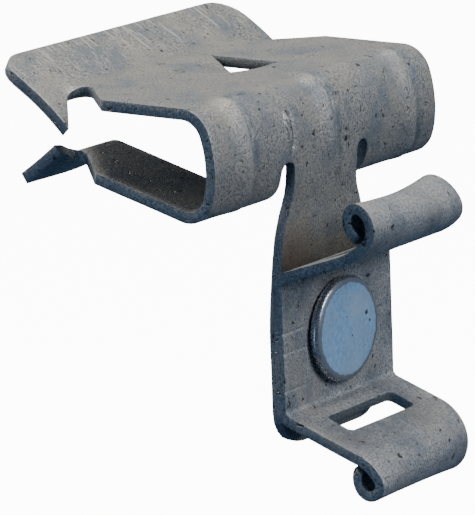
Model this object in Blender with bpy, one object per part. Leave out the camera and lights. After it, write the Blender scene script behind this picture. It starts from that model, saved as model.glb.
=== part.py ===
"""Spring clip that is hammered onto the edge of a beam flange, with a bracket that swivels on a rivet.

The clip and the bracket are each drawn as the flat blank they are stamped from, and then bent
along their side view. The rivet is turned.

Metres, +Z up. The clip's mouth faces -X and its back +X. The origin is on the underside of the
clip's upper leg, the face that sits on the flange, midway across the width.
"""

from bisect import bisect_right
from math import acos, atan2, cos, hypot, pi, radians, sin, tan

import bmesh
import bpy
from mathutils import Vector
from mathutils.geometry import tessellate_polygon

GAP = 0.0002  # left between pieces that touch on the real object
CLIP_SHEET = 0.0016
BRACKET_SHEET = 0.0015

# The clip, seen from the side. Radii are to the middle of the sheet.
HALF_WIDTH = 0.0269
BACK_X = 0.0097  # the outermost face of the back, where the tongue leaves the two loops
LEG_FRONT_X = -0.0206  # where the flat of the upper leg meets the bend of its lip
UPPER_LIP = 0.0079
LIP_END_SLOPE = 27.0  # degrees below level, at the mouth
LIP_ROOT_SLOPE = 34.0  # and where the lip meets the leg
LIP_BEND_RADIUS = 0.002
CORNER_RADIUS = 0.004
CORNER_TURN = 72.0
BACK_RADIUS = 0.0172
BACK_TURN = 90.0 - CORNER_TURN
UNDER_BACK_RADIUS = 0.0122
UNDER_BACK_TURN = 18.0
LOWER_LEG_RISE = 14.5
LOOP_RADIUS = 0.0038
LOWER_LEG = 0.0216
LOWER_LIP = 0.0062
LOWER_LIP_FALL = 27.0
LOWER_BEND_RADIUS = 0.0025
TOOTH_CURL = 12.0  # the upper teeth go on curving downwards by this much
LOWER_TOOTH_RISE = 34.0  # the lower teeth rise from the mouth at this slope
LOWER_TOOTH_CURL = 5.0  # and curve upwards by this much

# The tongue that hangs from the back and carries the rivet.
SET_BACK_RADIUS = 0.040
SET_BACK_TURN = 9.5
TONGUE_DROP = 0.0423
SLOT_TOP = 0.0013  # where the slots start, below the place the tongue and the loops part
NECK_HALF = 0.0076
NECK_LENGTH = 0.0066
SHOULDER_HALF = 0.0101
SHOULDER_AT = 0.0125
TONGUE_HALF = 0.0121
TONGUE_FULL_AT = 0.024
TONGUE_CORNER = 0.005
SLOT_OUTER_HALF = 0.0104
NECK_SHIFT = -0.0007  # the neck and its slots sit this far off the middle
PRONG_INNER_HALF = 0.0134

# The notches that free the teeth, as (along from the bend, out from the middle).
UPPER_NOTCH = (0.0040, 0.0213)
UPPER_NOTCH_RADIUS = 0.0018
UPPER_TOOTH_TIP = 0.0074
UPPER_NOTCH_END = 0.0122
LOWER_NOTCH = (0.0024, 0.0234)
LOWER_NOTCH_RADIUS = 0.0012
LOWER_TOOTH_TIP = 0.0022
LOWER_NOTCH_END = 0.0080
TWIST_WIDTH = 0.0030  # from the root of a notch outwards, the sheet twists into its tooth
TWIST_LENGTH = 0.0066
TWIST_STEP = 0.0009
MOUTH_CORNER = 0.0045
LOWER_MOUTH_CORNER = 0.0010
PRONG_CORNER = 0.0035
SMALL_CORNER = 0.0006

# The half dimple that is lanced and pushed down out of the upper leg.
DIMPLE_HALF = 0.0060
DIMPLE_X = -0.0097
LANCE_Y = 0.0070
LANCE_OPENING = 0.0027
DIMPLE_START_Y = -0.0045
DIMPLE_DEPTH = 0.0026

# Stiffening grooves that run round the back.
GROOVE_AT = (-0.0183, 0.0013, 0.0215)
GROOVE_HALF = 0.0014
GROOVE_DEPTH = 0.00035
GROOVE_RAMP = 0.004

# The bracket.
RIVET_Z = -0.0344
BRACKET_HALF = 0.0134
UPPER_CORNER = 0.00915  # from the rivet up to the inside corner of the upper arm
LOWER_CORNER = 0.00985  # and down to that of the lower arm
ARM_SLOPE = 18.5
FOLD_RADIUS = 0.00175
# The eyes are rolled tighter at -Y than at +Y. For each of the two sides, the pieces of an arm
# from its inside corner to its end: (length, turn in degrees).
UPPER_ARM = (
    ((0.0103, 0), (0.0058, 27), (0.0057, 106), (0.0023, 91), (0.0028, 68), (0.0015, 5)),
    ((0.0086, 0), (0.0043, 27), (0.0024, 75), (0.0044, 46), (0.0027, 57), (0.0060, 60)),
)
LOWER_ARM = (
    ((0.0130, 0), (0.0042, 37), (0.0015, 60), (0.0041, 126), (0.0023, 47), (0.0005, 0)),
    ((0.0087, 0), (0.0042, 39), (0.0041, 52), (0.0055, 75), (0.0029, 40), (0.0002, 0)),
)
EYE_STEP = 0.00045  # along the sheet, per facet of an eye
EYE_LINES = 6  # the facets across the width of an eye
ARM_SLOT_START = 0.0033
ARM_SLOT = 0.0044
ARM_SLOT_HALF = 0.0080
ARM_SLOT_CORNER = 0.0008
BRACKET_CORNER = 0.0008

# The rivet.
HEAD_RADIUS = 0.00765
HEAD_THICK = 0.0016
HEAD_EDGE = 0.0004
SHANK_RADIUS = 0.0033
RIVET_HOLE_RADIUS = SHANK_RADIUS + GAP
TAIL_RADIUS = 0.0052
TAIL_FLAT_RADIUS = 0.0038
TAIL_THICK = 0.0019

BEND_STEP = 7.5  # degrees of bend per facet
ROUND_SIDES = 48
SMOOTH_BELOW = 28.0


def turned_path(start, heading, pieces):
    """A side view built of straights and arcs: [(length, turn in degrees)] to a list of nodes.

    A heading is in degrees below +X, so that 90 points straight down.
    """
    nodes = [(0.0, start[0], start[1], heading, 0.0)]
    for length, turn in pieces:
        s, x, z, angle, _ = nodes[-1]
        nodes[-1] = (s, x, z, angle, turn / length)
        dx, dz = arc_step(angle, length, turn / length)
        nodes.append((s + length, x + dx, z + dz, angle + turn, 0.0))
    return nodes


def arc_step(angle, length, rate):
    """How far a piece of a path goes, when its heading changes by `rate` degrees per metre."""
    a = radians(angle)
    if abs(rate) < 1e-9:
        return length * cos(a), -length * sin(a)
    b = radians(angle + rate * length)
    radius = 1.0 / radians(rate)
    return radius * (sin(b) - sin(a)), radius * (cos(b) - cos(a))


def on_path(nodes, s, n):
    """The point at s along a path, and n to the outside of it, as (x, z)."""
    index = min(max(bisect_right([node[0] for node in nodes], s) - 1, 0), len(nodes) - 1)
    start, x, z, angle, rate = nodes[index]
    dx, dz = arc_step(angle, s - start, rate)
    a = radians(angle + rate * (s - start))
    return x + dx + n * sin(a), z + dz + n * cos(a)


def path_end(nodes):
    return nodes[-1][0]


def arc(radius, turn):
    """A piece of path with a bend of that radius."""
    return abs(radians(turn)) * radius, turn


def bend_cuts(nodes, step=BEND_STEP):
    """Where a path has to be divided so that its bends come out round."""
    cuts = []
    for (s, _, _, _, rate), following in zip(nodes, nodes[1:]):
        length = following[0] - s
        count = max(1, round(abs(rate) * length / step + 0.3))
        cuts += [s + length * k / count for k in range(count + 1)]
    return cuts


def shifted(nodes, dx, dz):
    return [(s, x + dx, z + dz, angle, rate) for s, x, z, angle, rate in nodes]


def rounded(corners, step=18.0):
    """An outline of corners (x, y, radius), with each corner rounded."""
    points = []
    for index, (x, y, radius) in enumerate(corners):
        before = Vector(corners[index - 1][:2]) - Vector((x, y))
        after = Vector(corners[(index + 1) % len(corners)][:2]) - Vector((x, y))
        if radius == 0:
            points.append((x, y))
            continue
        before.normalize()
        after.normalize()
        half = before.angle(after) / 2
        middle = Vector((x, y)) + (before + after).normalized() * (radius / sin(half))
        first = Vector((x, y)) + before * (radius / tan(half)) - middle
        turn = -first.angle_signed(Vector((x, y)) + after * (radius / tan(half)) - middle)
        count = max(2, round(abs(turn) / radians(step)))
        for k in range(count + 1):
            a = turn * k / count
            points.append((middle.x + first.x * cos(a) - first.y * sin(a),
                           middle.y + first.x * sin(a) + first.y * cos(a)))
    return points


def circle(x, y, radius, sides=32):
    return [(x + radius * cos(2 * pi * k / sides), y + radius * sin(2 * pi * k / sides))
            for k in range(sides)]


def notch_arc(centre, radius, tip, end):
    """The rounded bottom of a notch whose sides run to `tip` and to `end`, both on the edge."""
    angles = []
    for point, side in ((tip, -1), (end, 1)):
        away = atan2(point[1] - centre[1], point[0] - centre[0])
        opening = acos(radius / hypot(point[0] - centre[0], point[1] - centre[1]))
        angles.append(away - side * opening)
    first, last = angles[0] - 2 * pi, angles[1]
    while first < last - 2 * pi:
        first += 2 * pi
    count = 9
    return [(centre[0] + radius * cos(first + (last - first) * k / count),
             centre[1] + radius * sin(first + (last - first) * k / count))
            for k in range(count + 1)]


def clip_paths():
    """The clip's side views: all round, the tongue, and the lip lines that the teeth follow."""
    lip_turn = LIP_ROOT_SLOPE - LIP_END_SLOPE
    to_split = [
        (UPPER_LIP, lip_turn),
        arc(LIP_BEND_RADIUS, -LIP_ROOT_SLOPE),
        (1.0, 0.0),
        arc(CORNER_RADIUS, CORNER_TURN),
        arc(BACK_RADIUS, BACK_TURN),
    ]
    corner_reach = CORNER_RADIUS * sin(radians(CORNER_TURN))
    back_reach = BACK_RADIUS * (1 - sin(radians(CORNER_TURN)))
    leg_end_x = BACK_X - CLIP_SHEET / 2 - corner_reach - back_reach
    to_split[2] = (leg_end_x - LEG_FRONT_X, 0.0)
    upper = turned_path((0, 0), LIP_END_SLOPE, to_split)
    bend_end = upper[2]
    upper = shifted(upper, LEG_FRONT_X - bend_end[1], CLIP_SHEET / 2 - bend_end[2])
    split, split_x, split_z = upper[-1][:3]

    lower_turn = 180.0 + LOWER_LEG_RISE - 90.0 - UNDER_BACK_TURN
    under = turned_path((split_x, split_z), 90.0, [
        arc(UNDER_BACK_RADIUS, UNDER_BACK_TURN),
        arc(LOOP_RADIUS, lower_turn),
        (LOWER_LEG, 0.0),
        arc(LOWER_BEND_RADIUS, -(LOWER_LEG_RISE + LOWER_LIP_FALL)),
        (LOWER_LIP, 0.0),
    ])
    round_path = upper[:-1] + [(s + split, x, z, a, rate) for s, x, z, a, rate in under]

    set_back = [arc(SET_BACK_RADIUS, SET_BACK_TURN), arc(SET_BACK_RADIUS, -SET_BACK_TURN)]
    fall = 2 * SET_BACK_RADIUS * sin(radians(SET_BACK_TURN))
    tongue = turned_path((split_x, split_z), 90.0, set_back + [(TONGUE_DROP - fall, 0.0)])
    tongue = [(s + split, x, z, a, rate) for s, x, z, a, rate in tongue]

    root = upper[1]
    upper_tooth = turned_path(root[1:3], LIP_ROOT_SLOPE, [(UPPER_TOOTH_TIP, TOOTH_CURL)])
    upper_tooth = [(s + root[0], x, z, a, rate) for s, x, z, a, rate in upper_tooth]
    lip, mouth = round_path[-2:]
    lower_tooth = turned_path(mouth[1:3], -LOWER_TOOTH_RISE,
                              [(LOWER_LIP + LOWER_TOOTH_TIP, -LOWER_TOOTH_CURL)])
    return {"round": round_path, "tongue": tongue, "upper_tooth": upper_tooth,
            "lower_tooth": lower_tooth, "split": split, "upper_bend": root[0],
            "lower_bend": lip[0]}


def clip_outline(paths):
    """Half of the clip's flat blank on the +Y side, from the mouth to the tongue's end."""
    split, bend, low = paths["split"], paths["upper_bend"], paths["lower_bend"]
    end = path_end(paths["round"])
    tongue_end = path_end(paths["tongue"])
    edge = HALF_WIDTH
    upper = notch_arc((bend + UPPER_NOTCH[0], UPPER_NOTCH[1]), UPPER_NOTCH_RADIUS,
                      (bend + UPPER_TOOTH_TIP, edge), (bend + UPPER_NOTCH_END, edge))
    lower = notch_arc((low - LOWER_NOTCH[0], LOWER_NOTCH[1]), LOWER_NOTCH_RADIUS,
                      (low - LOWER_NOTCH_END, edge), (low - LOWER_TOOTH_TIP, edge))
    corners = [(0.0, edge, MOUTH_CORNER), (bend + UPPER_TOOTH_TIP, edge, 0)]
    corners += [(s, y, 0) for s, y in upper]
    corners += [(bend + UPPER_NOTCH_END, edge, SMALL_CORNER),
                (low - LOWER_NOTCH_END, edge, SMALL_CORNER)]
    corners += [(s, y, 0) for s, y in lower]
    corners += [
        (low - LOWER_TOOTH_TIP, edge, 0),
        (end, edge, LOWER_MOUTH_CORNER),
        (end, PRONG_INNER_HALF, PRONG_CORNER),
        (split + SHOULDER_AT, PRONG_INNER_HALF, 0.003),
        (split + NECK_LENGTH, SLOT_OUTER_HALF, 0.003),
        (split + SLOT_TOP, SLOT_OUTER_HALF, (SLOT_OUTER_HALF - NECK_HALF) * 0.499),
        (split + SLOT_TOP, NECK_HALF, (SLOT_OUTER_HALF - NECK_HALF) * 0.499),
        (split + NECK_LENGTH, NECK_HALF, 0.008),
        (split + SHOULDER_AT, SHOULDER_HALF, 0.03),
        (split + TONGUE_FULL_AT, TONGUE_HALF, 0.03),
        (tongue_end, TONGUE_HALF, TONGUE_CORNER),
    ]
    half = [(0.0, 0.0, 0)] + corners + [(tongue_end, 0.0, 0)]
    return rounded(half)[1:-1]


def mirrored_loop(half, split):
    """A closed outline from the points of its +Y half, with the neck and its slots moved over."""
    points = []
    for s, y in half + [(s, -y) for s, y in reversed(half)]:
        past = s - split
        faded_at = TONGUE_FULL_AT if abs(y) < tongue_edge(past) else SHOULDER_AT
        moved = NECK_SHIFT * (1 - ramp(past, NECK_LENGTH / 2, faded_at)) if past > 0 else 0.0
        points.append((s, y + moved))
    return points


def flat_blank(loops, thick):
    """A plate from its outline and holes, lying in XY with its thickness either side of Z = 0."""
    bm = bmesh.new()
    faces = tessellate_polygon([[Vector((x, y, 0)) for x, y in loop] for loop in loops])
    points = [point for loop in loops for point in loop]
    low = [bm.verts.new((x, y, -thick / 2)) for x, y in points]
    high = [bm.verts.new((x, y, thick / 2)) for x, y in points]
    for a, b, c in faces:
        bm.faces.new((low[a], low[b], low[c]))
        bm.faces.new((high[c], high[b], high[a]))
    first = 0
    for loop in loops:
        count = len(loop)
        for k in range(count):
            a, b = first + k, first + (k + 1) % count
            bm.faces.new((low[a], low[b], high[b], high[a]))
        first += count
    bmesh.ops.recalc_face_normals(bm, faces=bm.faces)
    flat = [edge for edge in bm.edges if edge.calc_face_angle(1.0) < 1e-4]
    bmesh.ops.dissolve_edges(bm, edges=flat, use_verts=False)
    return bm


def divide(bm, axis, places, within=(0.0, 1.0)):
    """Cuts a flat blank along lines at those places, where its faces lie within a span."""
    for place in sorted(set(round(p, 7) for p in places)):
        point, normal = [0, 0, 0], [0, 0, 0]
        point[axis], normal[axis] = place, 1
        faces = [face for face in bm.faces
                 if within[0] <= abs(face.calc_center_bounds()[1 - axis]) <= within[1]]
        edges = {edge for face in faces for edge in face.edges}
        verts = {vert for face in faces for vert in face.verts}
        bmesh.ops.bisect_plane(bm, geom=[*verts, *edges, *faces], dist=1e-6,
                               plane_co=point, plane_no=normal)


def ramp(value, start, end):
    """0 before start, 1 past end, and straight in between."""
    return min(max((value - start) / (end - start), 0.0), 1.0)


def smooth_ramp(value, start, end):
    share = ramp(value, start, end)
    return share * share * (3 - 2 * share)


def groove_depth(paths, s, y):
    """How far the grooves round the back push the sheet inwards."""
    corner = paths["round"][3][0]
    loop_end = paths["round"][6][0]
    centre_end = paths["split"] + GROOVE_RAMP
    depth = 0.0
    for at in GROOVE_AT:
        last = centre_end if abs(at) < NECK_HALF else loop_end + GROOVE_RAMP
        along = ramp(s, corner - GROOVE_RAMP / 2, corner + GROOVE_RAMP / 2)
        along *= 1 - ramp(s, last - GROOVE_RAMP, last)
        depth += GROOVE_DEPTH * along * max(0.0, 1 - abs(y - at) / GROOVE_HALF)
    return depth


def dimple_depth(paths, s, y):
    """How far the half dimple is pushed down, on the near side of the lance cut."""
    middle = paths["round"][2][0] + DIMPLE_X - LEG_FRONT_X
    along = max(0.0, 1 - abs(s - middle) / DIMPLE_HALF)
    across = ramp(y, DIMPLE_START_Y, LANCE_Y) if y < LANCE_Y - 1e-5 else 0.0
    return DIMPLE_DEPTH * along * across


def tooth_share(along, y, notch, radius, tip, end):
    """How far a point beside a notch follows the tooth, rather than the leg.

    `along` is from the bend of the lip; the notch's middle line runs from `notch` to the edge.
    """
    out = max(abs(y) - notch[1], 0.0) / (HALF_WIDTH - notch[1])
    middle = notch[0] + out * ((tip + end) / 2 - notch[0])
    root = notch[1] - radius
    outwards = smooth_ramp(abs(y), root - TWIST_WIDTH / 4, root + TWIST_WIDTH)
    return outwards * (1 - smooth_ramp(along - middle, -radius, radius))


def clip_point(paths, s, y, n):
    """Where a point of the clip's flat blank is once the clip is bent."""
    split, bend, low = paths["split"], paths["upper_bend"], paths["lower_bend"]
    n = n - groove_depth(paths, s, y)
    if s > split and abs(y) < tongue_edge(s - split):
        x, z = on_path(paths["tongue"], s, n)
        return Vector((x, y, z))
    x, z = on_path(paths["round"], s, n)
    share = 0.0
    if bend < s < bend + UPPER_NOTCH_END:
        share = tooth_share(s - bend, y, UPPER_NOTCH, UPPER_NOTCH_RADIUS, UPPER_TOOTH_TIP,
                            UPPER_NOTCH_END)
        tooth_x, tooth_z = on_path(paths["upper_tooth"], s, n)
    if s > low - LOWER_NOTCH_END:
        share = tooth_share(low - s, y, LOWER_NOTCH, LOWER_NOTCH_RADIUS, LOWER_TOOTH_TIP,
                            LOWER_NOTCH_END)
        tooth_x, tooth_z = on_path(paths["lower_tooth"], path_end(paths["round"]) - s, -n)
    if share > 0.0:
        x, z = x + (tooth_x - x) * share, z + (tooth_z - z) * share
    return Vector((x, y, z - dimple_depth(paths, s, y)))


def tongue_edge(past):
    """Half way across the slot between the tongue and the loops."""
    narrow = (NECK_HALF + SLOT_OUTER_HALF) / 2
    wide = (TONGUE_HALF + PRONG_INNER_HALF) / 2
    return narrow + (wide - narrow) * ramp(past, NECK_LENGTH, SHOULDER_AT)


def bent(bm, point_at):
    for vert in bm.verts:
        vert.co = point_at(vert.co.x, vert.co.y, vert.co.z)
    bmesh.ops.triangulate(bm, faces=bm.faces)
    if bm.calc_volume(signed=True) < 0:
        bmesh.ops.reverse_faces(bm, faces=bm.faces)


def divide_twist(bm, start, end, notch, radius):
    """Cuts the corner of the blank that twists beside a notch finely, along and across."""
    steps = round((end - start) / TWIST_STEP)
    along = [start + (end - start) * k / steps for k in range(steps + 1)]
    inner = notch[1] - radius - TWIST_WIDTH / 4
    out = [inner + TWIST_STEP * k for k in range(round((HALF_WIDTH - inner) / TWIST_STEP))]
    divide(bm, 1, [inner, -inner], (min(along), max(along)))
    divide(bm, 0, along, (inner, HALF_WIDTH))
    divide(bm, 1, out + [-y for y in out], (min(along), max(along)))


def make_clip(material):
    """The clip: one strip that is lip, leg, back, two loops with their prongs, and tongue."""
    paths = clip_paths()
    outline = mirrored_loop(clip_outline(paths), paths["split"])
    rivet_at = path_end(paths["tongue"]) - (RIVET_Z - on_path(
        paths["tongue"], path_end(paths["tongue"]), 0.0)[1])
    leg_start = paths["round"][2][0]
    dimple = leg_start + DIMPLE_X - LEG_FRONT_X
    lance = [(dimple - DIMPLE_HALF, LANCE_Y), (dimple, LANCE_Y - LANCE_OPENING),
             (dimple + DIMPLE_HALF, LANCE_Y)]
    bm = flat_blank([outline, circle(rivet_at, 0.0, RIVET_HOLE_RADIUS), lance], CLIP_SHEET)
    cuts = bend_cuts(paths["round"]) + bend_cuts(paths["tongue"]) + bend_cuts(paths["upper_tooth"])
    corner, loop_end = paths["round"][3][0], paths["round"][6][0]
    half_ramp = GROOVE_RAMP / 2
    cuts += [corner - half_ramp, corner + half_ramp, paths["split"] + GROOVE_RAMP,
             loop_end + GROOVE_RAMP, dimple - DIMPLE_HALF, dimple, dimple + DIMPLE_HALF]
    divide(bm, 0, cuts)
    lines = [at + offset for at in GROOVE_AT for offset in (-GROOVE_HALF, 0.0, GROOVE_HALF)]
    lines += [DIMPLE_START_Y, LANCE_Y - LANCE_OPENING, LANCE_Y]
    divide(bm, 1, lines)
    bend, low, end = paths["upper_bend"], paths["lower_bend"], path_end(paths["round"])
    divide_twist(bm, bend, bend + TWIST_LENGTH, UPPER_NOTCH, UPPER_NOTCH_RADIUS)
    divide_twist(bm, low - TWIST_LENGTH, end, LOWER_NOTCH, LOWER_NOTCH_RADIUS)
    bent(bm, lambda s, y, n: clip_point(paths, s, y, n))
    return finished("spring_clip", bm, material)


SET_BACK_SHIFT = 2 * SET_BACK_RADIUS * (1 - cos(radians(SET_BACK_TURN)))
# From the corner of a fold, inside it, to where the fold starts.
FOLD_TANGENT = (FOLD_RADIUS - BRACKET_SHEET / 2) * tan(radians((90.0 - ARM_SLOPE) / 2))


def bracket_path(corner, arm, y):
    """From the rivet's height along the plate, out along an arm and round its eye, at that y."""
    share = (y + BRACKET_HALF) / (2 * BRACKET_HALF)
    pieces = [(a[0] + (b[0] - a[0]) * share, a[1] + (b[1] - a[1]) * share) for a, b in zip(*arm)]
    plate_x = BACK_X - SET_BACK_SHIFT + GAP + BRACKET_SHEET / 2
    return turned_path((plate_x, 0.0), 90.0, [
        (corner - FOLD_TANGENT, 0.0),
        arc(FOLD_RADIUS, ARM_SLOPE - 90.0),
        (pieces[0][0] - FOLD_TANGENT, 0.0),
        *pieces[1:],
    ])


def bracket_point(s, y, n):
    """Where a point of the bracket's flat blank is; s runs down from the rivet."""
    if s > 0:
        x, z = on_path(bracket_path(LOWER_CORNER, LOWER_ARM, y), s, -n)
        return Vector((x, y, RIVET_Z + z))
    x, z = on_path(bracket_path(UPPER_CORNER, UPPER_ARM, y), -s, -n)
    return Vector((x, y, RIVET_Z - z))


def make_bracket(material):
    """The bracket: a back plate and two arms that each end in a rolled eye."""
    loops, cuts, ends = [circle(0.0, 0.0, RIVET_HOLE_RADIUS)], [], []
    for corner, arm, side in ((UPPER_CORNER, UPPER_ARM, -1), (LOWER_CORNER, LOWER_ARM, 1)):
        nodes = bracket_path(corner, arm, 0.0)
        arm_start, end = nodes[2][0], path_end(nodes)
        eye_start = arm_start - FOLD_TANGENT + arm[1][0][0]
        count = round((end - eye_start) / EYE_STEP)
        cuts += [side * s for s in bend_cuts(nodes[:3])]
        cuts += [side * (eye_start + (end - eye_start) * k / count) for k in range(count)]
        slot = arm_start - FOLD_TANGENT + ARM_SLOT_START
        loops.append(rounded([(side * s, y, ARM_SLOT_CORNER) for s, y in (
            (slot, ARM_SLOT_HALF), (slot + ARM_SLOT, ARM_SLOT_HALF),
            (slot + ARM_SLOT, -ARM_SLOT_HALF), (slot, -ARM_SLOT_HALF))], 30.0))
        ends.append(side * end)
    outline = [(s, y, BRACKET_CORNER) for s, y in (
        (ends[0], BRACKET_HALF), (ends[1], BRACKET_HALF),
        (ends[1], -BRACKET_HALF), (ends[0], -BRACKET_HALF))]
    bm = flat_blank([rounded(outline, 30.0)] + loops, BRACKET_SHEET)
    divide(bm, 0, cuts)
    lines = [BRACKET_HALF * (2 * k / EYE_LINES - 1) for k in range(1, EYE_LINES)]
    divide(bm, 1, lines, (slot + ARM_SLOT, 1.0))
    bent(bm, bracket_point)
    return finished("swivel_bracket", bm, material)


def make_rivet(material):
    """The rivet: flat head in front, shank through both sheets, and the tail set behind."""
    tongue_face = BACK_X - SET_BACK_SHIFT
    head_back = tongue_face + 2 * GAP + BRACKET_SHEET
    tail_front = tongue_face - CLIP_SHEET - GAP
    profile = [
        (tail_front - TAIL_THICK, 0.0),
        (tail_front - TAIL_THICK, TAIL_FLAT_RADIUS),
        (tail_front - TAIL_THICK * 0.55, TAIL_RADIUS * 0.94),
        (tail_front - TAIL_THICK * 0.2, TAIL_RADIUS),
        (tail_front, TAIL_RADIUS * 0.97),
        (tail_front, SHANK_RADIUS),
        (head_back, SHANK_RADIUS),
        (head_back, HEAD_RADIUS - HEAD_EDGE / 2),
        (head_back + HEAD_EDGE, HEAD_RADIUS),
        (head_back + HEAD_THICK - HEAD_EDGE, HEAD_RADIUS),
        (head_back + HEAD_THICK - HEAD_EDGE / 3, HEAD_RADIUS - HEAD_EDGE / 3),
        (head_back + HEAD_THICK, HEAD_RADIUS - HEAD_EDGE),
        (head_back + HEAD_THICK, 0.0),
    ]
    bm = bmesh.new()
    rings = []
    for x, radius in profile:
        sides = ROUND_SIDES if radius > 0 else 1
        rings.append([bm.verts.new((x, radius * sin(2 * pi * k / ROUND_SIDES),
                                    RIVET_Z + radius * cos(2 * pi * k / ROUND_SIDES)))
                      for k in range(sides)])
    for a, b in zip(rings, rings[1:]):
        for k in range(ROUND_SIDES):
            j = (k + 1) % ROUND_SIDES
            corners = [a[k % len(a)], a[j % len(a)], b[j % len(b)], b[k % len(b)]]
            bm.faces.new(list(dict.fromkeys(corners)))
    bmesh.ops.recalc_face_normals(bm, faces=bm.faces)
    return finished("rivet", bm, material)


def finished(name, bm, material):
    """Turns the mesh into a named object with its material, round where it is round."""
    mesh = bpy.data.meshes.new(name)
    bm.to_mesh(mesh)
    bm.free()
    mesh.materials.append(material)
    mesh.polygons.foreach_set("use_smooth", [True] * len(mesh.polygons))
    mesh.set_sharp_from_angle(angle=radians(SMOOTH_BELOW))
    obj = bpy.data.objects.new(name, mesh)
    bpy.context.scene.collection.objects.link(obj)
    return obj


def metal(name, colour, roughness):
    material = bpy.data.materials.new(name)
    material.use_nodes = True
    shader = material.node_tree.nodes["Principled BSDF"]
    shader.inputs["Base Color"].default_value = (*colour, 1.0)
    shader.inputs["Metallic"].default_value = 0.9
    shader.inputs["Roughness"].default_value = roughness
    return material


def main():
    for obj in list(bpy.data.objects):
        bpy.data.objects.remove(obj, do_unlink=True)
    make_clip(metal("coated spring steel", (0.36, 0.35, 0.34), 0.55))
    make_bracket(metal("coated strip steel", (0.33, 0.32, 0.32), 0.55))
    make_rivet(metal("bright zinc", (0.52, 0.58, 0.66), 0.35))


main()
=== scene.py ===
"""Looks of the spring clip for a beam flange, with its riveted swivel bracket.

The clip and the bracket are drawn again as flat blanks and bent, as in the CAD, but finely enough
to carry rounded edges, pressed steps and waviness. The rivet is turned again. Each piece then
gets its finish, and the camera, the lights and the floor are set up.

Metres, in the CAD's frame: +Z up, the clip's mouth towards -X, its back towards +X.
"""

from bisect import bisect_right
from functools import lru_cache
from math import acos, atan2, cos, exp, hypot, pi, radians, sin, tan

import bmesh
import bpy
from mathutils import Matrix, Vector, noise
from mathutils.geometry import tessellate_polygon

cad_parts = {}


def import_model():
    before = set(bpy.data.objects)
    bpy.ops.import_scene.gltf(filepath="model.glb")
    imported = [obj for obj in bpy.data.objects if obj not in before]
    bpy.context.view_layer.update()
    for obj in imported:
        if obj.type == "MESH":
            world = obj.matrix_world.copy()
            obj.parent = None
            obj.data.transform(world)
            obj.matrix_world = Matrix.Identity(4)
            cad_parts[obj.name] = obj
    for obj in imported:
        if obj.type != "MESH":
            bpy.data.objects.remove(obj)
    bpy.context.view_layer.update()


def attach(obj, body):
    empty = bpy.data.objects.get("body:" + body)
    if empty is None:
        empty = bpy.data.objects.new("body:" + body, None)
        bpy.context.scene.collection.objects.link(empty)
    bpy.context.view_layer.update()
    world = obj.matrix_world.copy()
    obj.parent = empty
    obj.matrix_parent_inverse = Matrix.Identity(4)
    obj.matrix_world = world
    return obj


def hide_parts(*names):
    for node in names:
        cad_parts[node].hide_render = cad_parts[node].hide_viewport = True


GAP = 0.0002  # left between pieces that touch on the real object
CLIP_SHEET = 0.0016
BRACKET_SHEET = 0.0015

# The clip, seen from the side. Radii are to the middle of the sheet.
HALF_WIDTH = 0.0269
BACK_X = 0.0097  # the outermost face of the back, where the tongue leaves the two loops
LEG_FRONT_X = -0.0206  # where the flat of the upper leg meets the bend of its lip
UPPER_LIP = 0.0079
LIP_END_SLOPE = 27.0  # degrees below level, at the mouth
LIP_ROOT_SLOPE = 34.0  # and where the lip meets the leg
LIP_BEND_RADIUS = 0.002
CORNER_RADIUS = 0.004
CORNER_TURN = 72.0
BACK_RADIUS = 0.0172
BACK_TURN = 90.0 - CORNER_TURN
UNDER_BACK_RADIUS = 0.0122
UNDER_BACK_TURN = 18.0
LOWER_LEG_RISE = 14.5
LOOP_RADIUS = 0.0038
LOWER_LEG = 0.0216
LOWER_LIP = 0.0062
LOWER_LIP_FALL = 27.0
LOWER_BEND_RADIUS = 0.0025
TOOTH_CURL = 12.0  # the upper teeth go on curving downwards by this much
LOWER_TOOTH_RISE = 34.0  # the lower teeth rise from the mouth at this slope
LOWER_TOOTH_CURL = 5.0  # and curve upwards by this much

# The tongue that hangs from the back and carries the rivet.
SET_BACK_RADIUS = 0.040
SET_BACK_TURN = 9.5
TONGUE_DROP = 0.0423
SLOT_TOP = 0.0013  # where the slots start, below the place the tongue and the loops part
NECK_HALF = 0.0076
NECK_LENGTH = 0.0066
SHOULDER_HALF = 0.0101
SHOULDER_AT = 0.0125
TONGUE_HALF = 0.0121
TONGUE_FULL_AT = 0.024
TONGUE_CORNER = 0.005
SLOT_OUTER_HALF = 0.0104
NECK_SHIFT = -0.0007  # the neck and its slots sit this far off the middle
PRONG_INNER_HALF = 0.0134

# The notches that free the teeth, as (along from the bend, out from the middle).
UPPER_NOTCH = (0.0040, 0.0213)
UPPER_NOTCH_RADIUS = 0.0018
UPPER_TOOTH_TIP = 0.0074
UPPER_NOTCH_END = 0.0122
LOWER_NOTCH = (0.0024, 0.0234)
LOWER_NOTCH_RADIUS = 0.0012
LOWER_TOOTH_TIP = 0.0022
LOWER_NOTCH_END = 0.0080
TWIST_WIDTH = 0.0030  # from the root of a notch outwards, the sheet twists into its tooth
TWIST_STEP = 0.0004
MOUTH_CORNER = 0.0045
LOWER_MOUTH_CORNER = 0.0010
PRONG_CORNER = 0.0035
SMALL_CORNER = 0.0006

# The half dimple that is lanced and pushed down out of the upper leg.
DIMPLE_HALF = 0.0060
DIMPLE_X = -0.0097
LANCE_Y = 0.0070
LANCE_OPENING = 0.0027
DIMPLE_START_Y = -0.0045
DIMPLE_DEPTH = 0.0026

# Steps pressed into the sheet over its corner and down the back, at these places across it. The
# sheet rises slowly towards a step, drops sharply over it and comes up again behind it.
STEP_AT = (-0.0183, 0.0013, 0.0215)
STEP_HEIGHT = 0.00060
STEP_SHARP = 0.0005
STEP_RISE = 0.0038
STEP_DROP = 1.4  # the drop, as a share of the height
STEP_FADE = 0.004  # along the sheet, at both ends of a step

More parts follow.
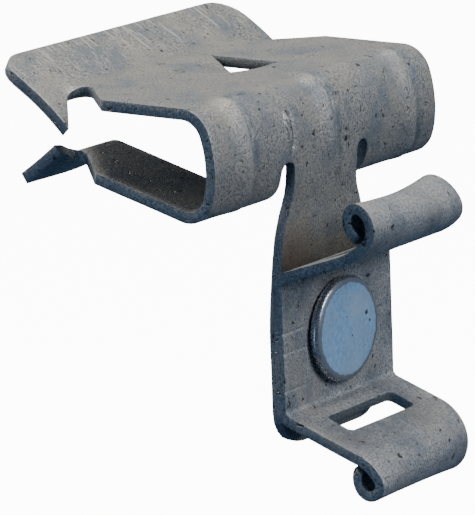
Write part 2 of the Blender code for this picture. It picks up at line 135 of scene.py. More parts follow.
# The bracket.
RIVET_Z = -0.0344
BRACKET_HALF = 0.0134
UPPER_CORNER = 0.00915  # from the rivet up to the inside corner of the upper arm
LOWER_CORNER = 0.00985  # and down to that of the lower arm
ARM_SLOPE = 18.5
FOLD_RADIUS = 0.00175
# The eyes are rolled tighter at -Y than at +Y. For each of the two sides, the pieces of an arm
# from its inside corner to its end: (length, turn in degrees).
UPPER_ARM = (
    ((0.0103, 0), (0.0058, 27), (0.0057, 106), (0.0023, 91), (0.0028, 68), (0.0015, 5)),
    ((0.0086, 0), (0.0043, 27), (0.0024, 75), (0.0044, 46), (0.0027, 57), (0.0060, 60)),
)
LOWER_ARM = (
    ((0.0130, 0), (0.0042, 37), (0.0015, 60), (0.0041, 126), (0.0023, 47), (0.0005, 0)),
    ((0.0087, 0), (0.0042, 39), (0.0041, 52), (0.0055, 75), (0.0029, 40), (0.0002, 0)),
)
EYE_STEP = 0.00045  # along the sheet, per facet of an eye
ARM_SLOT_START = 0.0033
ARM_SLOT = 0.0044
ARM_SLOT_HALF = 0.0080
ARM_SLOT_CORNER = 0.0008
BRACKET_CORNER = 0.0008

# The rivet.
HEAD_RADIUS = 0.00765
HEAD_THICK = 0.0016
HEAD_EDGE = 0.00075
SHANK_RADIUS = 0.0033
RIVET_HOLE_RADIUS = SHANK_RADIUS + GAP
TAIL_RADIUS = 0.0052
TAIL_FLAT_RADIUS = 0.0038
TAIL_THICK = 0.0019
TAIL_RINGS = 8
FACE_RINGS = 12
# The tail bulges: (share of its thickness back from its front, share of its radius out).
TAIL_BULGE = ((0.85, 0.85), (0.55, 0.95), (0.2, 1.0), (0.0, 0.97))
# The head is rounded at both edges: (in from its end; short of its radius), in HEAD_EDGEs.
HEAD_BACK_ROUND = ((0.0, 1 / 2), (1 / 3, 1 / 6), (1.0, 0.0))
HEAD_FRONT_ROUND = ((1.0, 0.0), (0.6, 0.12), (0.25, 0.45), (0.0, 1.3))
FACE_LEVEL = 0.9  # a facet is part of a flat face when its normal is this much along X

BEND_STEP = 4.0  # degrees of bend per facet
GRID = 0.00085  # the spacing of the other cuts, along and across the blanks
ROUND_SIDES = 128
HOLE_SIDES = 32
NOTCH_FACETS = 9
CORNER_STEP = 18.0  # degrees per facet of a corner of the clip's blank
BRACKET_CORNER_STEP = 15.0
TINY = 1e-6
FLAT_ANGLE = 1e-4  # radians; an edge this flat divides one face only
SMOOTH_BELOW = 38.0
EDGE_ROUND = 0.00020  # the shear rounds the edges of the sheet by this much
EDGE_SEGMENTS = 2
WAVE_SIZE = 0.007  # the sheets are uneven by about WAVE_HEIGHT, over this distance
WAVE_HEIGHT = 0.00004
STRIP_WAVES_FROM = 1.0  # the bracket's blank is taken this far along the same waves
CREASE_Y = -0.0093  # the folded-over crease above the slot on the -Y side
CREASE_HALF = 0.0031
CREASE_RIDGE = 0.8  # the height of its ridge, as a share of the depth of the fold
CREASE_WIDTH = 0.00034
CREASE_DEPTH = 0.00060
CREASE_APART = 0.0008  # from the ridge of the crease to the fold beside it
STAMP_LINES = (-0.0019, 0.0010, 0.0064)  # stamped across the bracket's plate, down from the rivet
STAMP_INNER = 0.0078  # and from this far from the middle to the edge
STAMP_WIDTH = 0.00022
STAMP_DEPTH = 0.00011
RIVET_WAVE = 0.0018

# The photograph's camera: degrees, metres, and millimetres of lens on the usual 36 mm sensor.
AZIMUTH, ELEVATION, ROLL = 36.84, 13.15, 2.13
DISTANCE = 0.6263
LENS = 308.7
AIM = Vector((-0.00174, -0.00726, -0.02401))
NEAR_CLIP, FAR_CLIP = 0.05, 20.0

# Lights: name, place, diameter, watts, colour.
LIGHTS = (
    ("key", (0.05, 0.05, 0.80), 0.42, 10.8, (1.0, 0.95, 0.865)),
    ("front", (0.75, 0.05, 0.38), 0.35, 6.2, (0.94, 0.96, 1.0)),
    ("side", (-0.10, -0.80, -0.15), 0.50, 1.5, (0.50, 0.70, 1.0)),
    ("mouth", (-0.72, -0.12, 0.40), 0.30, 8.0, (1.0, 0.93, 0.84)),
)
WORLD_COLOUR = (0.26, 0.55, 1.0)
WORLD_STRENGTH = 0.15
FLOOR_Z = -0.30
FLOOR_RADIUS = 4.0
FLOOR_CURVE = 2.0
FLOOR_GLOW = 12.0
FLOOR_SIDES, FLOOR_STEPS = 64, 12

# Finishes. Colours are linear; sizes are in metres.
BLOTCH_SIZE = 0.0055
TAN_SIZE = 0.0085
PIT_SIZE = 0.0010
PIT_COLOUR = (0.025, 0.030, 0.032)
PIT_DEPTH_SHARE = 1.5
GRAIN_HEIGHT = 0.00010
SPOT_RAGGED = 0.0005
SPOT_WOBBLE, SPOT_SOFT = 0.2, 0.3  # of a spot's radius
# The stretch of each noise over which a colour comes in, and how much of it.
GRAIN_RANGE = (0.38, 0.62)
FLECK_RANGE, FLECK_SHARE = (0.58, 0.70), 0.6
BLOTCH_RANGE, BLOTCH_SHARE = (0.46, 0.66), 0.8
TAN_RANGE, TAN_SHARE = (0.48, 0.68), 0.45
STAIN_RANGE, STAIN_SHARE = (0.35, 0.6), 0.8
STROKE_RANGE, STROKE_SHARE = (0.60, 0.66), 0.6
# Painted light along the pressed steps: a painted highlight down each ridge and painted shade down
# each foot, broken up by noise over this range.
STEP_PAINTED_LIGHT_RANGE = (0.35, 0.6)
STEP_HIGHLIGHT_SHARE, STEP_SHADE_SHARE = 0.12, 0.85
GLOSS_RANGE, GLOSS_SPREAD = (0.3, 0.7), 0.1
FINER = 0.45  # the flecks' size, as a share of the grain's
SHEET = {"pale": (0.33, 0.325, 0.305), "dark": (0.105, 0.108, 0.112), "fleck": (0.50, 0.49, 0.46),
         "blotch": (0.125, 0.15, 0.18), "tan": (0.33, 0.30, 0.25), "metallic": 0.45,
         "roughness": 0.46, "grain": 0.00032, "pits": (0.35, 0.28), "bump": 1.2}
STRIP = dict(SHEET, pale=(0.43, 0.43, 0.42), dark=(0.145, 0.155, 0.175), fleck=(0.56, 0.55, 0.53))
# Raw cut steel for the sheet's edges, with a colour darker and bluer than the sheet's as painted
# shade, since these faces turn away from the lights.
SHEARED_AND_SHADED = {"pale": (0.20, 0.225, 0.24), "dark": (0.055, 0.07, 0.09), "fleck": (0.34, 0.35, 0.35),
           "blotch": (0.10, 0.12, 0.15), "tan": (0.22, 0.21, 0.19), "metallic": 0.4,
           "roughness": 0.5, "grain": 0.00026, "pits": (0.36, 0.28), "bump": 1.0}
ZINC = {"pale": (0.26, 0.43, 0.63), "dark": (0.19, 0.34, 0.54), "fleck": (0.42, 0.50, 0.58),
        "blotch": (0.27, 0.38, 0.50), "tan": (0.46, 0.52, 0.56), "metallic": 0.3,
        "roughness": 0.42, "grain": 0.00075, "pits": (0.30, 0.24), "bump": 0.30}
RIM = {"pale": (0.38, 0.41, 0.45), "dark": (0.12, 0.13, 0.15), "fleck": (0.60, 0.62, 0.64),
       "blotch": (0.13, 0.15, 0.18), "tan": (0.26, 0.25, 0.22), "metallic": 0.75,
       "roughness": 0.28, "grain": 0.0004, "pits": (0.28, 0.22), "bump": 0.25}
STROKE_SCALE = (260.0, 1500.0, 260.0)
LIP_STROKES_FROM = 0.0024
RING_RAGGED = 0.0007
RING_WIDTH = 0.00022
HEAD_RING = ((0.0121, 0.0, RIVET_Z), HEAD_RADIUS - 0.00088, (0.15, 0.17, 0.20))
# The colour of the painted shade at the foot of each step; where across a step the painted
# highlight and the painted shade lie; and the X from which and the height down to which both are
# painted.
STEP_SHADE_COLOUR = (0.075, 0.095, 0.12)
STEP_HIGHLIGHT_BAND = (-STEP_SHARP * 1.6, STEP_SHARP * 3)  # its middle, off the step, and its reach
STEP_SHADE_BAND = (STEP_SHARP * 2.6, STEP_SHARP * 2.2)
STEP_PAINTED_LIGHT_FROM = 0.0015
STEP_PAINTED_LIGHT_END = -0.0150
RUST = ((0.0085, -0.0085, -0.0225), 0.0075, (0.17, 0.10, 0.055))
CLIP_MARKS = (
    ((0.00641, 0.01225, 0.00106), 0.00042), ((0.00902, 0.02136, -0.0025), 0.00055),
    ((0.00819, -0.01416, -0.00045), 0.00030), ((0.00866, -0.00900, -0.0018), 0.00040),
    ((0.00973, 0.00393, -0.0078), 0.00050), ((-0.01323, -0.00499, 0.0016), 0.00045),
    ((0.00956, -0.00915, -0.0068), 0.00030), ((0.0091, -0.0087, -0.0035), 0.00028),
    ((0.0092, -0.0085, -0.0046), 0.00026), ((0.0093, -0.0085, -0.0058), 0.00030),
)
STRIP_MARKS = (((0.02444, -0.00616, -0.04984), 0.00045),)
RIVET_MARKS = (((0.01209, 0.00445, -0.03286), 0.00042), ((0.01209, 0.0052, -0.0342), 0.00022))


def turned_path(start, heading, pieces):
    """A side view built of straights and arcs: [(length, turn in degrees)] to a list of nodes.

    A heading is in degrees below +X, so that 90 points straight down.
    """
    nodes = [(0.0, start[0], start[1], heading, 0.0)]
    for length, turn in pieces:
        s, x, z, angle, _ = nodes[-1]
        nodes[-1] = (s, x, z, angle, turn / length)
        dx, dz = arc_step(angle, length, turn / length)
        nodes.append((s + length, x + dx, z + dz, angle + turn, 0.0))
    return nodes


def arc_step(angle, length, rate):
    """How far a piece of a path goes, when its heading changes by `rate` degrees per metre."""
    a = radians(angle)
    if rate == 0.0:
        return length * cos(a), -length * sin(a)
    b = radians(angle + rate * length)
    radius = 1.0 / radians(rate)
    return radius * (sin(b) - sin(a)), radius * (cos(b) - cos(a))


def on_path(nodes, s, n):
    """The point at s along a path, and n to the outside of it, as (x, z)."""
    index = min(max(bisect_right([node[0] for node in nodes], s) - 1, 0), len(nodes) - 1)
    start, x, z, angle, rate = nodes[index]
    dx, dz = arc_step(angle, s - start, rate)
    a = radians(angle + rate * (s - start))
    return x + dx + n * sin(a), z + dz + n * cos(a)


def path_end(nodes):
    return nodes[-1][0]


def arc(radius, turn):
    """A piece of path with a bend of that radius."""
    return abs(radians(turn)) * radius, turn


def bend_cuts(nodes, step=BEND_STEP):
    """Where a path has to be divided so that its bends come out round."""
    cuts = []
    for (s, _, _, _, rate), following in zip(nodes, nodes[1:]):
        length = following[0] - s
        count = max(1, round(abs(rate) * length / step + 0.3))
        cuts += [s + length * k / count for k in range(count + 1)]
    return cuts


def shifted(nodes, dx, dz):
    return [(s, x + dx, z + dz, angle, rate) for s, x, z, angle, rate in nodes]


def rounded(corners, step=CORNER_STEP):
    """An outline of corners (x, y, radius), with each corner rounded."""
    points = []
    for index, (x, y, radius) in enumerate(corners):
        before = Vector(corners[index - 1][:2]) - Vector((x, y))
        after = Vector(corners[(index + 1) % len(corners)][:2]) - Vector((x, y))
        if radius == 0:
            points.append((x, y))
            continue
        before.normalize()
        after.normalize()
        half = before.angle(after) / 2
        middle = Vector((x, y)) + (before + after).normalized() * (radius / sin(half))
        first = Vector((x, y)) + before * (radius / tan(half)) - middle
        turn = -first.angle_signed(Vector((x, y)) + after * (radius / tan(half)) - middle)
        count = max(2, round(abs(turn) / radians(step)))
        for k in range(count + 1):
            a = turn * k / count
            points.append((middle.x + first.x * cos(a) - first.y * sin(a),
                           middle.y + first.x * sin(a) + first.y * cos(a)))
    return points


def circle(x, y, radius):
    angles = [2 * pi * k / HOLE_SIDES for k in range(HOLE_SIDES)]
    return [(x + radius * cos(a), y + radius * sin(a)) for a in angles]


def notch_arc(centre, radius, tip, end):
    """The rounded bottom of a notch whose sides run to `tip` and to `end`, both on the edge."""
    angles = []
    for point, side in ((tip, -1), (end, 1)):
        away = atan2(point[1] - centre[1], point[0] - centre[0])
        opening = acos(radius / hypot(point[0] - centre[0], point[1] - centre[1]))
        angles.append(away - side * opening)
    first, last = angles[0] - 2 * pi, angles[1]
    while first < last - 2 * pi:
        first += 2 * pi
    angles = [first + (last - first) * k / NOTCH_FACETS for k in range(NOTCH_FACETS + 1)]
    return [(centre[0] + radius * cos(a), centre[1] + radius * sin(a)) for a in angles]


def clip_paths():
    """The clip's side views: all round, the tongue, and the lip lines that the teeth follow."""
    corner_reach = CORNER_RADIUS * sin(radians(CORNER_TURN))
    back_reach = BACK_RADIUS * (1 - sin(radians(CORNER_TURN)))
    leg_end_x = BACK_X - CLIP_SHEET / 2 - corner_reach - back_reach
    upper = turned_path((0, 0), LIP_END_SLOPE, [
        (UPPER_LIP, LIP_ROOT_SLOPE - LIP_END_SLOPE),
        arc(LIP_BEND_RADIUS, -LIP_ROOT_SLOPE),
        (leg_end_x - LEG_FRONT_X, 0.0),
        arc(CORNER_RADIUS, CORNER_TURN),
        arc(BACK_RADIUS, BACK_TURN),
    ])
    bend_end = upper[2]
    upper = shifted(upper, LEG_FRONT_X - bend_end[1], CLIP_SHEET / 2 - bend_end[2])
    split, split_x, split_z = upper[-1][:3]

    lower_turn = 180.0 + LOWER_LEG_RISE - 90.0 - UNDER_BACK_TURN
    under = turned_path((split_x, split_z), 90.0, [
        arc(UNDER_BACK_RADIUS, UNDER_BACK_TURN),
        arc(LOOP_RADIUS, lower_turn),
        (LOWER_LEG, 0.0),
        arc(LOWER_BEND_RADIUS, -(LOWER_LEG_RISE + LOWER_LIP_FALL)),
        (LOWER_LIP, 0.0),
    ])
    round_path = upper[:-1] + [(s + split, x, z, a, rate) for s, x, z, a, rate in under]

    set_back = [arc(SET_BACK_RADIUS, SET_BACK_TURN), arc(SET_BACK_RADIUS, -SET_BACK_TURN)]
    fall = 2 * SET_BACK_RADIUS * sin(radians(SET_BACK_TURN))
    tongue = turned_path((split_x, split_z), 90.0, set_back + [(TONGUE_DROP - fall, 0.0)])
    tongue = [(s + split, x, z, a, rate) for s, x, z, a, rate in tongue]

    root = upper[1]
    upper_tooth = turned_path(root[1:3], LIP_ROOT_SLOPE, [(UPPER_TOOTH_TIP, TOOTH_CURL)])
    upper_tooth = [(s + root[0], x, z, a, rate) for s, x, z, a, rate in upper_tooth]
    lip, mouth = round_path[-2:]
    lower_tooth = turned_path(mouth[1:3], -LOWER_TOOTH_RISE,
                              [(LOWER_LIP + LOWER_TOOTH_TIP, -LOWER_TOOTH_CURL)])
    return {"round": round_path, "tongue": tongue, "upper_tooth": upper_tooth,
            "lower_tooth": lower_tooth, "split": split, "upper_bend": root[0],
            "lower_bend": lip[0]}


def clip_outline(paths):
    """Half of the clip's flat blank on the +Y side, from the mouth to the tongue's end."""
    split, bend, low = paths["split"], paths["upper_bend"], paths["lower_bend"]
    end = path_end(paths["round"])
    tongue_end = path_end(paths["tongue"])
    edge = HALF_WIDTH
    upper = notch_arc((bend + UPPER_NOTCH[0], UPPER_NOTCH[1]), UPPER_NOTCH_RADIUS,
                      (bend + UPPER_TOOTH_TIP, edge), (bend + UPPER_NOTCH_END, edge))
    lower = notch_arc((low - LOWER_NOTCH[0], LOWER_NOTCH[1]), LOWER_NOTCH_RADIUS,
                      (low - LOWER_NOTCH_END, edge), (low - LOWER_TOOTH_TIP, edge))
    corners = [(0.0, edge, MOUTH_CORNER), (bend + UPPER_TOOTH_TIP, edge, 0)]
    corners += [(s, y, 0) for s, y in upper]
    corners += [(bend + UPPER_NOTCH_END, edge, SMALL_CORNER),
                (low - LOWER_NOTCH_END, edge, SMALL_CORNER)]
    corners += [(s, y, 0) for s, y in lower]
    corners += [
        (low - LOWER_TOOTH_TIP, edge, 0),
        (end, edge, LOWER_MOUTH_CORNER),
        (end, PRONG_INNER_HALF, PRONG_CORNER),
        (split + SHOULDER_AT, PRONG_INNER_HALF, 0.003),
        (split + NECK_LENGTH, SLOT_OUTER_HALF, 0.003),
        (split + SLOT_TOP, SLOT_OUTER_HALF, (SLOT_OUTER_HALF - NECK_HALF) * 0.499),
        (split + SLOT_TOP, NECK_HALF, (SLOT_OUTER_HALF - NECK_HALF) * 0.499),
        (split + NECK_LENGTH, NECK_HALF, 0.008),
        (split + SHOULDER_AT, SHOULDER_HALF, 0.03),
        (split + TONGUE_FULL_AT, TONGUE_HALF, 0.03),
        (tongue_end, TONGUE_HALF, TONGUE_CORNER),
    ]
    half = [(0.0, 0.0, 0)] + corners + [(tongue_end, 0.0, 0)]
    return rounded(half)[1:-1]


def mirrored_loop(half, split):
    """A closed outline from the points of its +Y half, with the neck and its slots moved over."""
    points = []
    for s, y in half + [(s, -y) for s, y in reversed(half)]:
        past = s - split
        faded_at = TONGUE_FULL_AT if abs(y) < tongue_edge(past) else SHOULDER_AT
        moved = NECK_SHIFT * (1 - ramp(past, NECK_LENGTH / 2, faded_at)) if past > 0 else 0.0
        points.append((s, y + moved))
    return points


def flat_blank(loops, thick):
    """A plate from its outline and holes, in XY, with its rim rounded; slot 1 is its cut edge."""
    bm = bmesh.new()
    faces = tessellate_polygon([[Vector((x, y, 0)) for x, y in loop] for loop in loops])
    points = [point for loop in loops for point in loop]
    low = [bm.verts.new((x, y, -thick / 2)) for x, y in points]
    high = [bm.verts.new((x, y, thick / 2)) for x, y in points]
    for a, b, c in faces:
        bm.faces.new((low[a], low[b], low[c]))
        bm.faces.new((high[c], high[b], high[a]))
    first = 0
    for loop in loops:
        count = len(loop)
        for k in range(count):
            a, b = first + k, first + (k + 1) % count
            side = bm.faces.new((low[a], low[b], high[b], high[a]))
            side.material_index = 1
        first += count
    bmesh.ops.recalc_face_normals(bm, faces=bm.faces)
    flat = [edge for edge in bm.edges if edge.calc_face_angle(1.0) < FLAT_ANGLE]
    bmesh.ops.dissolve_edges(bm, edges=flat, use_verts=False)
    rim = [edge for edge in bm.edges
           if {face.material_index for face in edge.link_faces} == {0, 1}]
    bmesh.ops.bevel(bm, geom=rim, offset=EDGE_ROUND, segments=EDGE_SEGMENTS, profile=0.5,
                    affect="EDGES", clamp_overlap=True, material=1)
    return bm


def divide(bm, axis, places, within=(0.0, 1.0)):
    """Cuts a flat blank along lines at those places, where its faces lie within a span."""
    for place in sorted(set(round(p, 7) for p in places)):
        point, normal = [0, 0, 0], [0, 0, 0]
        point[axis], normal[axis] = place, 1
        faces = [face for face in bm.faces
                 if within[0] <= abs(face.calc_center_bounds()[1 - axis]) <= within[1]]
        edges = {edge for face in faces for edge in face.edges}
        verts = {vert for face in faces for vert in face.verts}
        bmesh.ops.bisect_plane(bm, geom=[*verts, *edges, *faces], dist=TINY,
                               plane_co=point, plane_no=normal)


def ramp(value, start, end):
    """0 before start, 1 past end, and straight in between."""
    return min(max((value - start) / (end - start), 0.0), 1.0)


def smooth_ramp(value, start, end):
    share = ramp(value, start, end)
    return share * share * (3 - 2 * share)


def steps_depth(paths, s, y):
    """How far the pressed steps put the sheet inwards."""
    corner = paths["round"][3][0]
    loop_end = paths["round"][6][0]
    centre_end = paths["split"] + STEP_FADE
    depth = 0.0
    for at in STEP_AT:
        last = centre_end if abs(at) < NECK_HALF else loop_end + STEP_FADE
        along = ramp(s, corner - STEP_FADE / 2, corner + STEP_FADE / 2)
        along *= 1 - ramp(s, last - STEP_FADE, last)
        depth -= along * step_height(y - at)
    return depth


def step_height(d):
    """How far a pressed step raises the sheet, at d across from its line."""
    if d < -STEP_SHARP:
        return STEP_HEIGHT * smooth_ramp(d, -STEP_RISE, -STEP_SHARP)
    if d < STEP_SHARP:
        return STEP_HEIGHT * (1 - STEP_DROP * smooth_ramp(d, -STEP_SHARP, STEP_SHARP))
    return (1 - STEP_DROP) * STEP_HEIGHT * (1 - smooth_ramp(d, STEP_SHARP, STEP_RISE / 2))


def unevenness(x, y):
    """The waviness that the blank keeps from its coil and its presses."""
    return WAVE_HEIGHT * noise.noise(Vector((x, y, 0.0)) / WAVE_SIZE)


def crease_depth(paths, s, y):
    """The short crease where the sheet folds over above a slot."""
    middle = paths["split"] - CREASE_HALF * 0.9
    along = 1 - smooth_ramp(abs(s - middle), CREASE_HALF * 0.5, CREASE_HALF)
    ridge = exp(-((y - CREASE_Y) / CREASE_WIDTH) ** 2)
    fold = exp(-((y - CREASE_Y - CREASE_APART) / CREASE_WIDTH) ** 2)
    return CREASE_DEPTH * along * (fold - CREASE_RIDGE * ridge)


def dimple_depth(paths, s, y):
    """How far the half dimple is pushed down, on the near side of the lance cut."""
    middle = paths["round"][2][0] + DIMPLE_X - LEG_FRONT_X
    along = max(0.0, 1 - abs(s - middle) / DIMPLE_HALF)
    across = ramp(y, DIMPLE_START_Y, LANCE_Y) if y < LANCE_Y - 10 * TINY else 0.0
    return DIMPLE_DEPTH * along * across


def tooth_share(along, y, notch, radius, tip, end):
    """How far a point beside a notch follows the tooth, rather than the leg.

    `along` is from the bend of the lip; the notch's middle line runs from `notch` to the edge.
    """
    out = max(abs(y) - notch[1], 0.0) / (HALF_WIDTH - notch[1])
    middle = notch[0] + out * ((tip + end) / 2 - notch[0])
    root = notch[1] - radius
    outwards = smooth_ramp(abs(y), root - TWIST_WIDTH / 4, root + TWIST_WIDTH)
    return outwards * (1 - smooth_ramp(along - middle, -radius, radius))


def clip_point(paths, s, y, n):
    """Where a point of the clip's flat blank is once the clip is bent."""
    split, bend, low = paths["split"], paths["upper_bend"], paths["lower_bend"]
    n = n - steps_depth(paths, s, y) - crease_depth(paths, s, y) + unevenness(s, y)
    if s > split and abs(y) < tongue_edge(s - split):
        x, z = on_path(paths["tongue"], s, n)
        return Vector((x, y, z))
    x, z = on_path(paths["round"], s, n)
    share = 0.0
    if bend < s < bend + UPPER_NOTCH_END:
        share = tooth_share(s - bend, y, UPPER_NOTCH, UPPER_NOTCH_RADIUS, UPPER_TOOTH_TIP,
                            UPPER_NOTCH_END)
        tooth_x, tooth_z = on_path(paths["upper_tooth"], s, n)
    if s > low - LOWER_NOTCH_END:
        share = tooth_share(low - s, y, LOWER_NOTCH, LOWER_NOTCH_RADIUS, LOWER_TOOTH_TIP,
                            LOWER_NOTCH_END)
        tooth_x, tooth_z = on_path(paths["lower_tooth"], path_end(paths["round"]) - s, -n)
    if share > 0.0:
        x, z = x + (tooth_x - x) * share, z + (tooth_z - z) * share
    return Vector((x, y, z - dimple_depth(paths, s, y)))


def tongue_edge(past):
    """Half way across the slot between the tongue and the loops."""
    narrow = (NECK_HALF + SLOT_OUTER_HALF) / 2
    wide = (TONGUE_HALF + PRONG_INNER_HALF) / 2
    return narrow + (wide - narrow) * ramp(past, NECK_LENGTH, SHOULDER_AT)


def bent(bm, point_at):
    for vert in bm.verts:
        vert.co = point_at(vert.co.x, vert.co.y, vert.co.z)
    bmesh.ops.triangulate(bm, faces=[face for face in bm.faces if len(face.verts) > 4])
    if bm.calc_volume(signed=True) < 0:
        bmesh.ops.reverse_faces(bm, faces=bm.faces)


def evenly(start, end):
    """Places from start to end, about a GRID apart."""
    count = max(1, round((end - start) / GRID))
    return [start + (end - start) * k / count for k in range(count + 1)]


def make_clip(materials):
    """The clip: one strip that is lip, leg, back, two loops with their prongs, and tongue."""
    paths = clip_paths()
    outline = mirrored_loop(clip_outline(paths), paths["split"])
    rivet_at = path_end(paths["tongue"]) - (RIVET_Z - on_path(
        paths["tongue"], path_end(paths["tongue"]), 0.0)[1])
    dimple = paths["round"][2][0] + DIMPLE_X - LEG_FRONT_X
    lance = [(dimple - DIMPLE_HALF, LANCE_Y), (dimple, LANCE_Y - LANCE_OPENING),
             (dimple + DIMPLE_HALF, LANCE_Y)]
    bm = flat_blank([outline, circle(rivet_at, 0.0, RIVET_HOLE_RADIUS), lance], CLIP_SHEET)
    end = path_end(paths["round"])
    cuts = bend_cuts(paths["round"]) + bend_cuts(paths["tongue"]) + evenly(0.0, end)
    cuts += [dimple - DIMPLE_HALF, dimple, dimple + DIMPLE_HALF]
    divide(bm, 0, cuts)
    lines = [at + STEP_SHARP * k / 2 for at in STEP_AT for k in range(-3, 4)]
    lines += [DIMPLE_START_Y, LANCE_Y - LANCE_OPENING, LANCE_Y] + evenly(-HALF_WIDTH, HALF_WIDTH)
    divide(bm, 1, lines)
    bend, low = paths["upper_bend"], paths["lower_bend"]
    for start, stop, notch, radius in (
            (bend, bend + UPPER_NOTCH_END / 2, UPPER_NOTCH, UPPER_NOTCH_RADIUS),
            (low - LOWER_NOTCH_END, end, LOWER_NOTCH, LOWER_NOTCH_RADIUS)):
        root = notch[1] - radius - TWIST_WIDTH / 4
        count = round((HALF_WIDTH - root) / TWIST_STEP)
        twist = [root + TWIST_STEP * k for k in range(count)]
        divide(bm, 0, [start + TWIST_STEP * k for k in range(round((stop - start) / TWIST_STEP))],
               (root, HALF_WIDTH))
        divide(bm, 1, twist + [-y for y in twist], (start, stop))
    crease = (paths["split"] - 2 * CREASE_HALF, paths["split"] + GRID)
    divide(bm, 1, [CREASE_Y + CREASE_WIDTH * k / 2 for k in range(-4, 9)], crease)
    bent(bm, lambda s, y, n: clip_point(paths, s, y, n))
    return finished("clip_sheet", bm, materials, "clip", "spring_clip")


SET_BACK_SHIFT = 2 * SET_BACK_RADIUS * (1 - cos(radians(SET_BACK_TURN)))
# From the corner of a fold, inside it, to where the fold starts.
FOLD_TANGENT = (FOLD_RADIUS - BRACKET_SHEET / 2) * tan(radians((90.0 - ARM_SLOPE) / 2))


@lru_cache(maxsize=None)
def bracket_path(corner, arm, y):
    """From the rivet's height along the plate, out along an arm and round its eye, at that y."""
    share = (y + BRACKET_HALF) / (2 * BRACKET_HALF)
    pieces = [(a[0] + (b[0] - a[0]) * share, a[1] + (b[1] - a[1]) * share) for a, b in zip(*arm)]
    plate_x = BACK_X - SET_BACK_SHIFT + GAP + BRACKET_SHEET / 2
    return turned_path((plate_x, 0.0), 90.0, [
        (corner - FOLD_TANGENT, 0.0),
        arc(FOLD_RADIUS, ARM_SLOPE - 90.0),
        (pieces[0][0] - FOLD_TANGENT, 0.0),
        *pieces[1:],
    ])


def stamped_depth(s, y):
    """How deep the stamped lines beside the rivet are."""
    beside = 1 - smooth_ramp(y, -STAMP_INNER - GRID, -STAMP_INNER)
    return STAMP_DEPTH * beside * sum(exp(-((s - at) / STAMP_WIDTH) ** 2) for at in STAMP_LINES)


def bracket_point(s, y, n):
    """Where a point of the bracket's flat blank is; s runs down from the rivet."""
    n = n + unevenness(s + STRIP_WAVES_FROM, y) + stamped_depth(s, y)
    if s > 0:
        x, z = on_path(bracket_path(LOWER_CORNER, LOWER_ARM, y), s, -n)
        return Vector((x, y, RIVET_Z + z))
    x, z = on_path(bracket_path(UPPER_CORNER, UPPER_ARM, y), -s, -n)
    return Vector((x, y, RIVET_Z - z))


def make_bracket(materials):
    """The bracket: a back plate and two arms that each end in a rolled eye."""
    loops, cuts, ends = [circle(0.0, 0.0, RIVET_HOLE_RADIUS)], [], []
    for corner, arm, side in ((UPPER_CORNER, UPPER_ARM, -1), (LOWER_CORNER, LOWER_ARM, 1)):
        nodes = bracket_path(corner, arm, 0.0)
        arm_start, end = nodes[2][0], path_end(nodes)
        eye_start = arm_start - FOLD_TANGENT + arm[1][0][0]
        count = round((end - eye_start) / EYE_STEP)
        cuts += [side * s for s in bend_cuts(nodes[:3])]
        cuts += [side * (eye_start + (end - eye_start) * k / count) for k in range(count)]
        slot = arm_start - FOLD_TANGENT + ARM_SLOT_START
        loops.append(rounded([(side * s, y, ARM_SLOT_CORNER) for s, y in (
            (slot, ARM_SLOT_HALF), (slot + ARM_SLOT, ARM_SLOT_HALF),
            (slot + ARM_SLOT, -ARM_SLOT_HALF), (slot, -ARM_SLOT_HALF))],
                             BRACKET_CORNER_STEP))
        ends.append(side * end)
    outline = [(s, y, BRACKET_CORNER) for s, y in (
        (ends[0], BRACKET_HALF), (ends[1], BRACKET_HALF),
        (ends[1], -BRACKET_HALF), (ends[0], -BRACKET_HALF))]
    bm = flat_blank([rounded(outline, BRACKET_CORNER_STEP)] + loops, BRACKET_SHEET)
    cuts += [at + STAMP_WIDTH * k / 2 for at in STAMP_LINES for k in range(-4, 5)]
    divide(bm, 0, cuts + evenly(ends[0], ends[1]))
    divide(bm, 1, evenly(-BRACKET_HALF, BRACKET_HALF))
    bent(bm, bracket_point)
    return finished("bracket_sheet", bm, materials, "bracket", "swivel_bracket")


def make_rivet(materials):
    """The rivet: flat head in front, shank through both sheets, and the tail set behind."""
    tongue_face = BACK_X - SET_BACK_SHIFT
    head_back = tongue_face + 2 * GAP + BRACKET_SHEET
    head_front = head_back + HEAD_THICK
    tail_front = tongue_face - CLIP_SHEET - GAP
    profile = [(tail_front - TAIL_THICK, TAIL_FLAT_RADIUS * k / TAIL_RINGS)
               for k in range(TAIL_RINGS + 1)]
    profile += [(tail_front - TAIL_THICK * back, TAIL_RADIUS * out) for back, out in TAIL_BULGE]
    profile += [(tail_front, SHANK_RADIUS), (head_back, SHANK_RADIUS)]
    profile += [(head_back + HEAD_EDGE * on, HEAD_RADIUS - HEAD_EDGE * short)
                for on, short in HEAD_BACK_ROUND]
    profile += [(head_front - HEAD_EDGE * back, HEAD_RADIUS - HEAD_EDGE * short)
                for back, short in HEAD_FRONT_ROUND]
    face = profile[-1][1]
    profile += [(head_front, face * (1 - k / FACE_RINGS)) for k in range(1, FACE_RINGS + 1)]
    bm = bmesh.new()
    rings = []
    for x, radius in profile:
        sides = ROUND_SIDES if radius > 0 else 1
        ring = []
        for k in range(sides):
            a = 2 * pi * k / ROUND_SIDES
            flat = Vector((x, radius * sin(a), radius * cos(a)))
            uneven = WAVE_HEIGHT * noise.noise(flat / RIVET_WAVE)
            outwards = Vector((0, sin(a), cos(a))) * (1 if radius > SHANK_RADIUS else 0)
            ring.append(bm.verts.new(flat + Vector((uneven, 0, RIVET_Z)) + outwards * uneven))
        rings.append(ring)
    for a, b in zip(rings, rings[1:]):
        for k in range(ROUND_SIDES):
            j = (k + 1) % ROUND_SIDES
            corners = [a[k % len(a)], a[j % len(a)], b[j % len(b)], b[k % len(b)]]
            bm.faces.new(list(dict.fromkeys(corners)))
    bmesh.ops.recalc_face_normals(bm, faces=bm.faces)
    for face in bm.faces:
        centre = face.calc_center_median()
        face.material_index = 0 if abs(face.normal.x) > FACE_LEVEL and centre.x > head_back else 1
    return finished("rivet_turned", bm, materials, "clip", "rivet")


